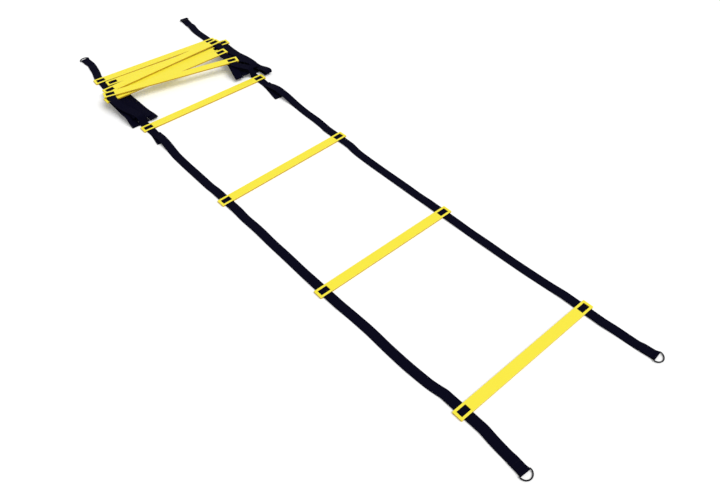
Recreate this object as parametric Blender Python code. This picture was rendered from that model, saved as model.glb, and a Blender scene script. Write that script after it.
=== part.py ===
"""Agility ladder: ten flat rungs on two webbing straps, half laid out and half gathered in a pile.

Metres, +Z up. +X runs along the rungs, +Y from the near end to the piled end.
Places are counted from the first rung's middle until the whole ladder is centred at the end.
"""
import math

import bmesh
import bpy
from mathutils import Matrix, Vector

# Rungs
RUNG_LENGTH = 0.430
RUNG_WIDTH = 0.0272
RUNG_THICKNESS = 0.0045
RUNG_CORNER = 0.0015
RUNG_EDGE = 0.0004
CORNER_SEGMENTS = 3
RIM_ANGLE_DEG = 60.0
WINDOW_SIDE_PLAY = 0.0006
WINDOW_WIDTH = 0.0158
END_WALL = 0.0067
KEEPER_WIDTH = 0.008
KEEPER_THICKNESS = 0.0012

# Webbing
STRAP_WIDTH = 0.025
STRAP_THICKNESS = 0.0013
CLEARANCE = 0.0003
FOLD_DROP = 0.0020
HEAP_FOLD_DROP = 0.0032
HEAP_LAYER_RISE = 0.0047
BEND_SHARE = 0.45
BEND_STEPS = 4
TURN_STEPS = 8
SWEEP_STEPS = 10
LEG_STEPS = 14
CLIMB_STEPS = 36
CLIMB_BUNCHING = 1.8

# Sewn loops at the strap ends
LAP = 0.032
LAP_FLARE = 0.007
LAP_HEIGHT = 0.0007
STEP_RUN = 0.010

# D-rings
WIRE_RADIUS = 0.0011
RING_SIDE_PLAY = 0.0010
RING_ARM = 0.0015
RING_CORNER = 0.0015
RING_FLOOR_GAP = 0.0001
RING_FOLD_DEG = 168.0
BOW_STEPS = 16

# Stitching
STITCH_LENGTH = 0.012
STITCH_INSET = 0.003
STITCH_START = 0.011
THREAD_WIDTH = 0.0008
THREAD_THICKNESS = 0.0005
THREAD_GAP = 0.0001
THREAD_LEG = 0.0007
NEEDLE_HOLE = 0.0010

# How the ladder lies
BAY = 0.410
LAID_TRAVEL = 0.030
TURNING_TRAVEL = 0.005
PILE_TRAVEL = 0.002
TRAVEL_MARGIN = 0.001
STRAIGHT_LEAD = 0.008
STRAIGHT_END = 0.002
RAMP_LEAD = 0.004
RAMP_RUN = 0.014
HEAP_SLOPE = 0.060
HEAP_MARGIN = 0.006
TIP_LEAD = 0.012
TIP_APPROACH_SHARES = (1.0, 0.75, 0.5, 0.25, 0.0)
OPENING_RUN = 0.050
SINKING_RUN = 0.040
CUT_OVERRUN = 0.001

# Rung middles as shares of the bay, across and along, with the turn in degrees and the storey in the pile
RUNG_PLACE_SHARES = [
    (0.000, 0.000, -0.6, 0),
    (-0.022, 1.038, -0.5, 0),
    (-0.008, 2.046, 1.0, 0),
    (0.009, 3.044, -1.3, 0),
    (-0.049, 3.390, -13.9, 5),
    (-0.049, 3.461, -0.6, 4),
    (0.006, 3.624, 2.4, 3),
    (-0.010, 3.567, 0.6, 2),
    (0.087, 3.686, -5.7, 1),
    (0.035, 3.800, -4.8, 0),
]
LAID_COUNT = 4
PILE_FIRST = 4
PILE_FOLDED = 5

# Webbing between laid rungs: share of the bay, drift in strap widths, lift in strap thicknesses
BAY_WAVE_SHARES = {
    -1: [
        [(0.20, -0.15, 0.0), (0.35, -0.24, 0.9), (0.50, -0.15, 0.0), (0.64, 0.00, 0.5), (0.79, 0.00, 0.0)],
        [(0.20, -0.02, 0.0), (0.36, 0.00, 0.6), (0.50, -0.02, 0.0), (0.64, 0.04, 1.1), (0.79, -0.03, 0.0)],
        [(0.18, -0.11, 0.0), (0.32, -0.14, 0.7), (0.46, -0.17, 0.0), (0.60, -0.16, 0.0)],
    ],
    1: [
        [(0.22, -0.02, 0.0), (0.36, -0.10, 0.6), (0.50, -0.10, 0.0), (0.64, -0.10, 1.2), (0.79, -0.06, 0.0)],
        [(0.20, -0.06, 0.0), (0.35, -0.11, 0.9), (0.49, -0.14, 0.0), (0.64, -0.19, 0.5), (0.79, -0.16, 0.0)],
        [(0.16, 0.06, 0.0), (0.28, 0.14, 0.8), (0.40, 0.14, 0.0)],
    ],
}

# Strap ends: ring place from the nearest rung's window in shares of the bay, heading in degrees,
# then the tail's own wave in shares of its length, strap widths and strap thicknesses
TAIL_SHARES = {
    ("near", -1): ((-0.025, -0.396), -5.0, [(0.46, 0.04, 0.8)]),
    ("near", 1): ((0.022, -0.438), 5.5, [(0.36, -0.07, 0.1), (0.53, -0.06, 0.9)]),
    ("far", -1): ((0.045, 0.360), 3.0, [(0.40, 0.25, 2.0), (0.62, 0.18, 0.5)]),
    ("far", 1): ((0.036, 0.464), -7.0, [(0.30, -0.02, 2.6), (0.52, -0.20, 0.4)]),
}

# Tuck on the near side of the last laid rung: lowest fold's tip and upper fold from the rung's window in
# strap widths, their headings, and the upper layer's hump as widths along, widths across and thicknesses up
TUCK_SHARES = {
    -1: (
        (-0.33, -3.50), -7.0, (0.05, -1.78), -3.0,
        [(-5.7, -0.16, 0.0), (-4.3, -0.06, 4.6), (-3.0, 0.0, 6.0)],
    ),
    1: (
        (-0.60, -5.10), -8.0, (0.00, -1.78), 0.0,
        [(-7.6, 0.12, 0.0), (-5.9, 0.10, 7.0), (-4.0, 0.06, 10.5), (-2.8, 0.02, 6.5)],
    ),
}

# Heap tips from the last laid rung's window in strap widths, top fold first, with their headings in degrees
# and how far each fold stands open and how far it sinks, in strap thicknesses
HEAP_TIP_SHARES = {
    -1: [
        ((-0.33, 1.80), -4.0, 0.0, 0.0),
        ((-0.93, 1.22), -2.0, 0.0, 10.7),
        ((0.80, 1.50), -1.0, 0.0, 0.0),
        ((1.35, 1.00), 2.0, 0.0, 0.0),
        ((0.30, 1.20), 4.0, 0.0, 0.0),
    ],
    1: [
        ((-2.00, 1.26), -6.0, 0.0, 9.0),
        ((0.80, 1.60), -8.0, 0.0, 0.0),
        ((-0.90, 1.30), -4.0, 0.0, 0.0),
        ((1.50, 0.00), 3.0, 7.0, 0.0),
        ((0.50, 1.35), -1.0, 0.0, 0.0),
    ],
}

SIDE_NAMES = {-1: "left", 1: "right"}
HALF_STRAP = STRAP_THICKNESS / 2
WINDOW_LENGTH = STRAP_WIDTH + 2 * WINDOW_SIDE_PLAY
RING_HALF_WIDTH = STRAP_WIDTH / 2 + WIRE_RADIUS + RING_SIDE_PLAY
STITCH_WIDTH = STRAP_WIDTH - 2 * STITCH_INSET
CHANNEL_FLOOR = KEEPER_THICKNESS + CLEARANCE
CHANNEL_TOP = CHANNEL_FLOOR + STRAP_THICKNESS + CLEARANCE
CHANNEL_LINE = CHANNEL_FLOOR + HALF_STRAP
STOREY = RUNG_THICKNESS + STRAP_THICKNESS + 2 * CLEARANCE
RETURN_LINE = -CLEARANCE - HALF_STRAP
WINDOW_PLACE = RUNG_LENGTH / 2 - END_WALL - WINDOW_LENGTH / 2
LOOP_RADIUS = WIRE_RADIUS + CLEARANCE + HALF_STRAP
LAP_LINE = LAP_HEIGHT + HALF_STRAP
BAR_HEIGHT = LAP_LINE + LOOP_RADIUS
UPPER_LINE = LAP_LINE + STRAP_THICKNESS + CLEARANCE
RING_DEPTH = RING_ARM + RING_HALF_WIDTH


def clear_scene():
    for item in list(bpy.data.objects):
        bpy.data.objects.remove(item, do_unlink=True)


def material(name, colour, roughness, metallic=0.0):
    made = bpy.data.materials.new(name)
    made.use_nodes = True
    shader = made.node_tree.nodes["Principled BSDF"]
    shader.inputs["Base Color"].default_value = (*colour, 1.0)
    shader.inputs["Roughness"].default_value = roughness
    shader.inputs["Metallic"].default_value = metallic
    return made


def add_object(name, mesh, look, place=(0, 0, 0), turn=0.0):
    made = bpy.data.objects.new(name, mesh)
    bpy.context.scene.collection.objects.link(made)
    made.location = place
    made.rotation_euler = (0, 0, turn)
    mesh.materials.append(look)
    return made


def box_mesh(name, low, high):
    """A closed box between two corners."""
    mesh = bpy.data.meshes.new(name)
    shape = bmesh.new()
    middle = (Vector(low) + Vector(high)) / 2
    size = Vector(high) - Vector(low)
    placing = Matrix.Translation(middle) @ Matrix.Diagonal((*size, 1))
    bmesh.ops.create_cube(shape, size=1, matrix=placing)
    shape.to_mesh(mesh)
    shape.free()
    return mesh


def cutter(name, low, high, place=(0, 0, 0), turn=0.0):
    """A box that only cuts, kept out of the ladder."""
    made = bpy.data.objects.new(name, box_mesh(name, low, high))
    bpy.context.scene.collection.objects.link(made)
    made.location = place
    made.rotation_euler = (0, 0, turn)
    made.hide_render = True
    made.display_type = "WIRE"
    return made


def boolean(target, other, operation):
    step = target.modifiers.new(operation.lower(), "BOOLEAN")
    step.operation = operation
    step.solver = "EXACT"
    step.object = other


def apply_modifiers(target):
    """Keep the shape that the modifiers give and drop them."""
    bpy.context.view_layer.update()
    evaluated = target.evaluated_get(bpy.context.evaluated_depsgraph_get())
    finished = bpy.data.meshes.new_from_object(evaluated)
    target.modifiers.clear()
    target.data = finished


def heading(turn):
    """The way along the ladder after a turn, seen from above."""
    return Vector((-math.sin(turn), math.cos(turn)))


def rung_place(index):
    across, along, turn, storey = RUNG_PLACE_SHARES[index]
    return Vector((across * BAY, along * BAY)), math.radians(turn), storey * STOREY


def window_place(index, side):
    """Where a strap's line crosses a rung, seen from above."""
    middle, turn, _ = rung_place(index)
    return middle + side * WINDOW_PLACE * Vector((math.cos(turn), math.sin(turn)))


def rung_mesh():
    """One moulding: a flat bar with a window, a strap channel and a keeper bar at each end."""
    half = (RUNG_LENGTH / 2, RUNG_WIDTH / 2)
    mesh = box_mesh("rung", (-half[0], -half[1], 0), (half[0], half[1], RUNG_THICKNESS))
    shape = bmesh.new()
    shape.from_mesh(mesh)
    corners = [edge for edge in shape.edges if abs((edge.verts[0].co - edge.verts[1].co).z) > 0]
    rounding = {"affect": "EDGES", "profile": 0.5}
    bmesh.ops.bevel(shape, geom=corners, offset=RUNG_CORNER, segments=CORNER_SEGMENTS, **rounding)
    sharpest = math.radians(RIM_ANGLE_DEG)
    rims = [edge for edge in shape.edges if edge.is_manifold and edge.calc_face_angle() > sharpest]
    bmesh.ops.bevel(shape, geom=rims, offset=RUNG_EDGE, segments=1, **rounding)
    shape.to_mesh(mesh)
    shape.free()
    return mesh


def make_rungs(look):
    rung = add_object("rung_01", rung_mesh(), look)
    cutters = []
    for side in SIDE_NAMES:
        ends = sorted((side * (WINDOW_PLACE - WINDOW_LENGTH / 2), side * (WINDOW_PLACE + WINDOW_LENGTH / 2)))
        reach = RUNG_WIDTH / 2 + CUT_OVERRUN
        top = RUNG_THICKNESS + CUT_OVERRUN
        boxes = [
            ((-reach, reach), (KEEPER_THICKNESS, CHANNEL_TOP)),
            ((-WINDOW_WIDTH / 2, WINDOW_WIDTH / 2), (KEEPER_THICKNESS, top)),
            ((-reach, -KEEPER_WIDTH / 2), (-CUT_OVERRUN, CHANNEL_TOP)),
            ((KEEPER_WIDTH / 2, reach), (-CUT_OVERRUN, CHANNEL_TOP)),
        ]
        for along, up in boxes:
            cutters.append(cutter("strap_way", (ends[0], along[0], up[0]), (ends[1], along[1], up[1])))
            boolean(rung, cutters[-1], "DIFFERENCE")
    apply_modifiers(rung)
    for item in cutters:
        bpy.data.objects.remove(item, do_unlink=True)
    rungs = []
    for index in range(len(RUNG_PLACE_SHARES)):
        middle, turn, base = rung_place(index)
        made = rung if index == 0 else bpy.data.objects.new(f"rung_{index + 1:02d}", rung.data)
        if index:
            bpy.context.scene.collection.objects.link(made)
        made.location = (*middle, base)
        made.rotation_euler = (0, 0, turn)
        rungs.append(made)
    return rungs


def eased(points):
    """Round the corners of a line of points and keep its straight runs."""
    smooth = [points[0]]
    for before, corner, after in zip(points, points[1:], points[2:]):
        reach = BEND_SHARE * min((corner - before).length, (after - corner).length)
        start = corner + (before - corner).normalized() * reach
        finish = corner + (after - corner).normalized() * reach
        for step in range(BEND_STEPS + 1):
            share = step / BEND_STEPS
            smooth.append(start.lerp(corner, share).lerp(corner.lerp(finish, share), share))
    smooth.append(points[-1])
    return smooth


def swept(start, start_way, finish, finish_way, steps=SWEEP_STEPS, bunching=1.0):
    """A plan curve that leaves and arrives along two given ways, its points closer together at the start."""
    reach = (finish - start).length / 3
    handles = [start, start + start_way * reach, finish - finish_way * reach, finish]
    curve = []
    for step in range(steps + 1):
        share = (step / steps) ** bunching
        line = handles
        while len(line) > 1:
            line = [a.lerp(b, share) for a, b in zip(line, line[1:])]
        curve.append(line[0])
    return curve


def rise(share):
    share = min(max(share, 0.0), 1.0)
    return share * share * (3 - 2 * share)


class Route:
    """A strap's centre line, with the way across the strap at each point."""

    def __init__(self, point, way):
        self.points = [point]
        self.across = [Vector((way.y, -way.x, 0)).normalized()]
        self.forward = 1

    def run(self, line):
        """Add a run of points; the strap's edges stay square to it, seen from above."""
        for before, point in zip([self.points[-1]] + line, line):
            way = (point - before).to_2d() * self.forward
            if (point - before).length < CLEARANCE:
                continue
            self.points.append(point)
            self.across.append(Vector((way.y, -way.x, 0)).normalized())

    def fold(self, height, way):
        """Turn back over or under the last point and come out at another height."""
        start = self.points[-1].copy()
        radius = abs(height - start.z) / 2
        outward = way * self.forward
        for step in range(1, TURN_STEPS + 1):
            angle = math.pi * step / TURN_STEPS
            bulge = outward * radius * math.sin(angle)
            level = start.z + (height - start.z) * (1 - math.cos(angle)) / 2
            self.points.append(Vector((start.x + bulge.x, start.y + bulge.y, level)))
            self.across.append(Vector((way.y, -way.x, 0)).normalized())
        self.forward = -self.forward


def at_height(plan, height):
    return Vector((plan.x, plan.y, height))


def straight_half(travel):
    """Half of the straight stretch that a rung with this travel needs."""
    return RUNG_WIDTH / 2 + travel + TRAVEL_MARGIN


def through(index, side, travel, way):
    """The straight stretch of webbing in one rung, from its near side to its far side."""
    window = window_place(index, side)
    height = rung_place(index)[2] + CHANNEL_LINE
    half = straight_half(travel)
    reaches = (-half, STRAIGHT_END - half, half - STRAIGHT_END, half)
    return [at_height(window + way * reach, height) for reach in reaches]


def ring_place(end, side):
    index = 0 if end == "near" else len(RUNG_PLACE_SHARES) - 1
    offset, turn, _ = TAIL_SHARES[(end, side)]
    return window_place(index, side) + BAY * Vector(offset), math.radians(turn)


def lap_run(end, side):
    """The upper layer from the ring's bar to the floor, in order away from the ring."""
    bar, turn = ring_place(end, side)
    way = heading(turn) if end == "near" else -heading(turn)
    steps = [
        (LAP_FLARE, UPPER_LINE),
        (LAP + CLEARANCE, UPPER_LINE),
        (LAP + STEP_RUN, HALF_STRAP),
    ]
    return [at_height(bar + way * reach, height) for reach, height in steps]


def tail_run(end, side):
    """The free tail between a sewn loop and the nearest rung, away from the ring."""
    index = 0 if end == "near" else len(RUNG_PLACE_SHARES) - 1
    bar, _ = ring_place(end, side)
    window = window_place(index, side)
    line = []
    for share, drift, lift in TAIL_SHARES[(end, side)][2]:
        plan = bar.lerp(window, share) + Vector((drift * STRAP_WIDTH, 0))
        line.append(at_height(plan, HALF_STRAP + lift * STRAP_THICKNESS))
    return line


def bay_run(index, side):
    """The webbing that leaves one laid rung, crosses the floor and reaches the next."""
    start = window_place(index, side)
    finish = window_place(index + 1, side)
    line = []
    for share, drift, lift in BAY_WAVE_SHARES[side][index]:
        plan = start.lerp(finish, share) + Vector((drift * STRAP_WIDTH, 0))
        line.append(at_height(plan, HALF_STRAP + lift * STRAP_THICKNESS))
    return line


def tuck(route, side, line):
    """The slack before the last laid rung, laid back under itself."""
    window = window_place(LAID_COUNT - 1, side)
    tip_offset, tip_turn, upper_offset, upper_turn, hump = TUCK_SHARES[side]
    low_line = HALF_STRAP + THREAD_GAP
    layers = [low_line, low_line + FOLD_DROP, low_line + 2 * FOLD_DROP]
    tip_way = heading(math.radians(tip_turn))
    upper_way = heading(math.radians(upper_turn))
    tip = window + STRAP_WIDTH * Vector(tip_offset)
    upper = window + STRAP_WIDTH * Vector(upper_offset)
    for along, across, lift in hump:
        plan = window + STRAP_WIDTH * Vector((across, along))
        line.append(at_height(plan, max(HALF_STRAP + lift * STRAP_THICKNESS, HALF_STRAP)))
    line.append(at_height(upper - upper_way * TIP_LEAD, layers[2]))
    line.append(at_height(upper, layers[2]))
    route.run(eased([route.points[-1]] + line)[1:])
    route.fold(layers[1], upper_way)
    middle = swept(upper - upper_way * HEAP_MARGIN, -upper_way, tip + tip_way * HEAP_MARGIN, -tip_way) + [tip]
    route.run([at_height(plan, layers[1]) for plan in middle])
    route.fold(layers[0], tip_way)
    under = window - heading(0) * (straight_half(TURNING_TRAVEL) + STEP_RUN)
    lower = swept(tip + tip_way * HEAP_MARGIN, tip_way, under, heading(0))
    route.run([at_height(plan, layers[0]) for plan in lower])
    route.run(through(LAID_COUNT - 1, side, TURNING_TRAVEL, heading(0)))


def heap_levels(side):
    """Where the heap's layers leave the pile and where they have sunk, seen from the near end."""
    edges = []
    for index in range(PILE_FIRST, PILE_FIRST + PILE_FOLDED + 1):
        _, turn, _ = rung_place(index)
        lean = WINDOW_LENGTH / 2 * abs(math.sin(turn))
        edges.append(window_place(index, side).y - RUNG_WIDTH / 2 - lean)
    top = min(edges) - HEAP_MARGIN
    return top - HEAP_SLOPE, top


def layered(plan_line, side, pile_line, near_line, opening=0.0, sinking=0.0):
    """Give a heap leg its heights: level in the pile, lower towards the near end."""
    low, high = heap_levels(side)
    tip = min(plan.y for plan in plan_line)
    line = []
    for plan in plan_line:
        height = near_line + (pile_line - near_line) * rise((plan.y - low) / (high - low))
        spread = opening * rise(1 - (plan.y - tip) / OPENING_RUN)
        sunk = sinking * rise(1 - (plan.y - tip) / SINKING_RUN)
        line.append(at_height(plan, height + spread - sunk))
    return line


def heap_tip(side, fold):
    offset, turn, opening, sinking = HEAP_TIP_SHARES[side][fold]
    place = window_place(LAID_COUNT - 1, side) + STRAP_WIDTH * Vector(offset)
    return place, math.radians(turn), opening * STRAP_THICKNESS, sinking * STRAP_THICKNESS


def gather(route, side):
    """Climb over the heap to the top rung, then fold down through the pile to the lowest one."""
    leave = route.points[-1].to_2d()
    lowest_tip = HALF_STRAP + THREAD_GAP
    crest = lowest_tip + PILE_FOLDED * HEAP_LAYER_RISE + STRAP_THICKNESS
    window = window_place(PILE_FIRST, side)
    _, turn, base = rung_place(PILE_FIRST)
    way = heading(turn)
    half = straight_half(PILE_TRAVEL)
    climb = swept(leave, heading(0), window - way * half, way, CLIMB_STEPS, CLIMB_BUNCHING)
    for over in layered(climb, side, base + CHANNEL_LINE, crest):
        climbed = rise(((over.to_2d() - leave).length - RAMP_LEAD) / RAMP_RUN)
        over.z = CHANNEL_LINE + (over.z - CHANNEL_LINE) * climbed
        route.run([over])
    for fold in range(PILE_FOLDED):
        index = PILE_FIRST + fold
        _, turn, base = rung_place(index)
        window = window_place(index, side)
        way = heading(turn)
        route.run(through(index, side, PILE_TRAVEL, way)[1:])
        route.fold(base + RETURN_LINE, way)
        tip, tip_turn, opening, sinking = heap_tip(side, fold)
        tip_way = heading(tip_turn)
        lower_tip = lowest_tip + (PILE_FOLDED - 1 - fold) * HEAP_LAYER_RISE
        back = [window + way * (half - STRAIGHT_END), window - way * (half - STRAIGHT_END)]
        approach = [tip + tip_way * TIP_LEAD * share for share in TIP_APPROACH_SHARES]
        back += swept(window - way * half, -way, approach[0], -tip_way, LEG_STEPS)[:-1] + approach
        route.run(layered(back, side, base + RETURN_LINE, lower_tip + HEAP_FOLD_DROP, opening, sinking))
        _, next_turn, next_base = rung_place(index + 1)
        next_window = window_place(index + 1, side)
        next_way = heading(next_turn)
        leg = swept(approach[0], tip_way, next_window - next_way * half, next_way, LEG_STEPS)
        forth = approach[::-1] + leg[1:]
        lower = layered(forth, side, next_base + CHANNEL_LINE, lower_tip, 0, sinking)
        route.fold(lower[0].z, tip_way)
        route.run(lower[1:])


def strap_route(side):
    """The whole centre line, from under the near ring to under the far ring."""
    bar, turn = ring_place("near", side)
    way = heading(turn)
    route = Route(at_height(bar + way * LAP, LAP_LINE), way)
    route.forward = -1
    route.run([at_height(bar + way * STITCH_START, LAP_LINE), at_height(bar, LAP_LINE)])
    route.fold(BAR_HEIGHT + LOOP_RADIUS, way)
    line = [route.points[-1]] + lap_run("near", side) + tail_run("near", side)
    for index in range(LAID_COUNT):
        if index < LAID_COUNT - 1:
            stretch = through(index, side, LAID_TRAVEL, heading(0))
            lead = heading(0).to_3d() * STRAIGHT_LEAD
            line += [stretch[0] - lead] + stretch + [stretch[-1] + lead] + bay_run(index, side)
    route.run(eased(line[:-1])[1:])
    tuck(route, side, [line[-1]])
    gather(route, side)
    last = len(RUNG_PLACE_SHARES) - 1
    far_way = heading(rung_place(last)[1])
    stretch = through(last, side, PILE_TRAVEL, far_way)
    route.run(stretch[1:])
    far_bar, far_turn = ring_place("far", side)
    tail = [at_height(far_bar, BAR_HEIGHT + LOOP_RADIUS)] + lap_run("far", side) + tail_run("far", side)
    lead = stretch[-1] + far_way.to_3d() * STRAIGHT_LEAD
    route.run(eased([route.points[-1], lead] + tail[::-1])[1:])
    far_out = heading(far_turn)
    route.fold(LAP_LINE, far_out)
    route.run([at_height(far_bar - far_out * reach, LAP_LINE) for reach in (STITCH_START, LAP)])
    return route


def strap_mesh(name, route):
    """Sweep the strap's flat section along its route and close both ends."""
    mesh = bpy.data.meshes.new(name)
    shape = bmesh.new()
    count = len(route.points)
    rings = []
    for index, point in enumerate(route.points):
        near = route.points[max(index - 1, 0)]
        far = route.points[min(index + 1, count - 1)]
        along = (far - near).normalized()
        across = sum(route.across[max(index - 1, 0):index + 2], Vector((0, 0, 0)))
        across.normalize()
        up = across.cross(along).normalized()
        corners = [(-1, -1), (1, -1), (1, 1), (-1, 1)]
        ring = []
        for sideways, upward in corners:
            place = point + across * sideways * STRAP_WIDTH / 2 + up * upward * HALF_STRAP
            ring.append(shape.verts.new(place))
        rings.append(ring)
    for before, after in zip(rings, rings[1:]):
        for corner in range(len(before)):
            following = (corner + 1) % len(before)
            shape.faces.new((before[corner], before[following], after[following], after[corner]))
    shape.faces.new(rings[0])
    shape.faces.new(list(reversed(rings[-1])))
    bmesh.ops.recalc_face_normals(shape, faces=shape.faces)
    shape.to_mesh(mesh)
    shape.free()
    return mesh


def route_length(route):
    return sum((b - a).length for a, b in zip(route.points, route.points[1:]))


def stitch_middle(end, side):
    bar, turn = ring_place(end, side)
    way = heading(turn) if end == "near" else -heading(turn)
    return bar + way * (STITCH_START + STITCH_LENGTH / 2), turn


def needle_places():
    """The four corners of a box stitch, from its middle."""
    return [(x * STITCH_WIDTH / 2, y * STITCH_LENGTH / 2) for x in (-1, 1) for y in (-1, 1)]


def make_strap(side, look):
    name = f"strap_{SIDE_NAMES[side]}"
    route = strap_route(side)
    strap = add_object(name, strap_mesh(name, route), look)
    holes = []
    for end in ("near", "far"):
        middle, turn = stitch_middle(end, side)
        for x, y in needle_places():
            low = (x - NEEDLE_HOLE / 2, y - NEEDLE_HOLE / 2, -CUT_OVERRUN)
            high = (x + NEEDLE_HOLE / 2, y + NEEDLE_HOLE / 2, UPPER_LINE + STRAP_THICKNESS)
            holes.append(cutter("needle_hole", low, high, (*middle, 0), turn))
            boolean(strap, holes[-1], "DIFFERENCE")
    apply_modifiers(strap)
    for item in holes:
        bpy.data.objects.remove(item, do_unlink=True)
    print(f"{name}: webbing {route_length(route):.3f} m long, {len(route.points)} points")
    return strap


def make_stitching(end, side, look):
    """A box of thick thread on both faces of the lap, joined through the needle holes."""
    middle, turn = stitch_middle(end, side)
    name = f"stitching_{end}_{SIDE_NAMES[side]}"
    x = STITCH_WIDTH / 2 + THREAD_WIDTH / 2
    y = STITCH_LENGTH / 2 + THREAD_WIDTH / 2
    low_top = LAP_HEIGHT - THREAD_GAP
    high_low = UPPER_LINE + HALF_STRAP + THREAD_GAP
    levels = [(low_top - THREAD_THICKNESS, low_top), (high_low, high_low + THREAD_THICKNESS)]
    first = levels[0]
    stitching = add_object(name, box_mesh(name, (-x, -y, first[0]), (x, y, first[1])), look)
    tools = []
    upper = cutter("upper_thread", (-x, -y, levels[1][0]), (x, y, levels[1][1]))
    tools.append((upper, "UNION"))
    for leg_x, leg_y in needle_places():
        half = THREAD_LEG / 2
        low = (leg_x - half, leg_y - half, first[0] + THREAD_THICKNESS / 2)
        high = (leg_x + half, leg_y + half, levels[1][1] - THREAD_THICKNESS / 2)
        tools.append((cutter("thread_leg", low, high), "UNION"))
    inner = (x - THREAD_WIDTH, y - THREAD_WIDTH)
    for level in levels:
        low = (-inner[0], -inner[1], level[0] - THREAD_GAP)
        high = (inner[0], inner[1], level[1] + THREAD_GAP)
        tools.append((cutter("inside_of_box", low, high), "DIFFERENCE"))
    for item, operation in tools:
        boolean(stitching, item, operation)
    apply_modifiers(stitching)
    for item, _ in tools:
        bpy.data.objects.remove(item, do_unlink=True)
    stitching.location = (*middle, 0)
    stitching.rotation_euler = (0, 0, turn)
    return stitching


def ring_line():
    """The D-ring's wire line in its own plane: bar along X, bow towards +Y."""
    line = []
    for sign in (-1, 1):
        for step in range(CORNER_SEGMENTS + 1):
            share = step / CORNER_SEGMENTS
            angle = math.pi / 2 * (1 - share if sign < 0 else share)
            x = RING_HALF_WIDTH - RING_CORNER + RING_CORNER * math.sin(angle)
            y = RING_CORNER * (1 - math.cos(angle))
            line.append(Vector((sign * x, y, 0)))
    for step in range(1, BOW_STEPS):
        angle = math.pi * step / BOW_STEPS
        x = RING_HALF_WIDTH * math.cos(angle)
        y = RING_ARM + RING_HALF_WIDTH * math.sin(angle)
        line.append(Vector((x, y, 0)))
    return line


def make_ring(end, side, look):
    """A D of round wire whose bar lies in the sewn loop; its origin is on the bar's line."""
    name = f"d_ring_{end}_{SIDE_NAMES[side]}"
    wire = bpy.data.curves.new(name, "CURVE")
    wire.dimensions = "3D"
    wire.bevel_depth = WIRE_RADIUS
    wire.bevel_resolution = 2
    points = ring_line()
    spline = wire.splines.new("POLY")
    spline.points.add(len(points) - 1)
    for target, point in zip(spline.points, points):
        target.co = (*point, 1)
    spline.use_cyclic_u = True
    drawn = bpy.data.objects.new(name + "_wire", wire)
    bpy.context.scene.collection.objects.link(drawn)
    bpy.context.view_layer.update()
    mesh = bpy.data.meshes.new_from_object(drawn.evaluated_get(bpy.context.evaluated_depsgraph_get()))
    bpy.data.objects.remove(drawn, do_unlink=True)
    for face in mesh.polygons:
        face.use_smooth = True
    bar, turn = ring_place(end, side)
    lean = math.asin((BAR_HEIGHT - WIRE_RADIUS - RING_FLOOR_GAP) / RING_DEPTH)
    if (end, side) == ("far", 1):
        lean = -math.radians(RING_FOLD_DEG)
    outward = turn + math.pi if end == "near" else turn
    made = add_object(name, mesh, look)
    made.location = (*bar, BAR_HEIGHT)
    made.rotation_euler = (-lean, 0, outward)
    return made


def centre_whole(pieces):
    """Put the origin on the floor under the middle of the ladder's outline."""
    bpy.context.view_layer.update()
    corners = [piece.matrix_world @ vert.co for piece in pieces for vert in piece.data.vertices]
    low = Vector([min(corner[axis] for corner in corners) for axis in range(3)])
    high = Vector([max(corner[axis] for corner in corners) for axis in range(3)])
    shift = Vector(((low.x + high.x) / 2, (low.y + high.y) / 2, low.z))
    for piece in pieces:
        piece.location -= shift
    print("outline", [round(value, 5) for value in high - low])
    print("first rung's middle", [round(value, 5) for value in -shift])


def main():
    clear_scene()
    yellow = material("rung_yellow", (0.95, 0.72, 0.03), 0.4)
    black = material("webbing_black", (0.012, 0.012, 0.018), 0.85)
    thread = material("thread_black", (0.02, 0.02, 0.028), 0.7)
    steel = material("ring_black_steel", (0.03, 0.03, 0.035), 0.3, 0.9)
    pieces = make_rungs(yellow)
    for side in SIDE_NAMES:
        pieces.append(make_strap(side, black))
        for end in ("near", "far"):
            pieces.append(make_ring(end, side, steel))
            pieces.append(make_stitching(end, side, thread))
    centre_whole(pieces)
    for piece in pieces:
        turn = math.degrees(piece.rotation_euler.z)
        print(piece.name, [round(value, 5) for value in piece.location], round(turn, 3))


main()
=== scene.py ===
# %% [markdown]
# # An agility ladder on a white floor
# The ladder is ten flat plastic rungs threaded on two webbing straps, with a wire D-ring sewn into
# each strap end. Four rungs are laid out and six lie in a fanned pile, with the slack webbing
# folded beside them. The solids of the same ladder come first, as a fixed frame. The first rung's
# box says where the ladder lies, so the pieces made here drop straight into place.

# %% Load the frame
import itertools
import math

import bmesh
import bpy
from mathutils import Matrix, Vector
from mathutils.geometry import interpolate_bezier


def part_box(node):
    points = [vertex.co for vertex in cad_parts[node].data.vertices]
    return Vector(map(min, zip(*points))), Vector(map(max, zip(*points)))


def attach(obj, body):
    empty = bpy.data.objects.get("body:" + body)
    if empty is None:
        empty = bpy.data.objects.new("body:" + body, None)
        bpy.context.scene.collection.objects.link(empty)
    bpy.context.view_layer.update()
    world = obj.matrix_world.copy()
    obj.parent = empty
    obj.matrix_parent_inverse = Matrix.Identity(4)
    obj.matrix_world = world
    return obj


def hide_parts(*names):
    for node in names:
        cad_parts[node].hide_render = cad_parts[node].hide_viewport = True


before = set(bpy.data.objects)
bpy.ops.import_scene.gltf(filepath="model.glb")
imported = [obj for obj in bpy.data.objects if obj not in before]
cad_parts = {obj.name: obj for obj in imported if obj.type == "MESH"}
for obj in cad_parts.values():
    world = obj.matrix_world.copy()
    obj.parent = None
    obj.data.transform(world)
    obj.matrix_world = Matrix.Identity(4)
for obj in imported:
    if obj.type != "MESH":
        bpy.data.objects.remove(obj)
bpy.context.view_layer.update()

print("pieces in the frame:", len(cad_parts))

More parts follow.
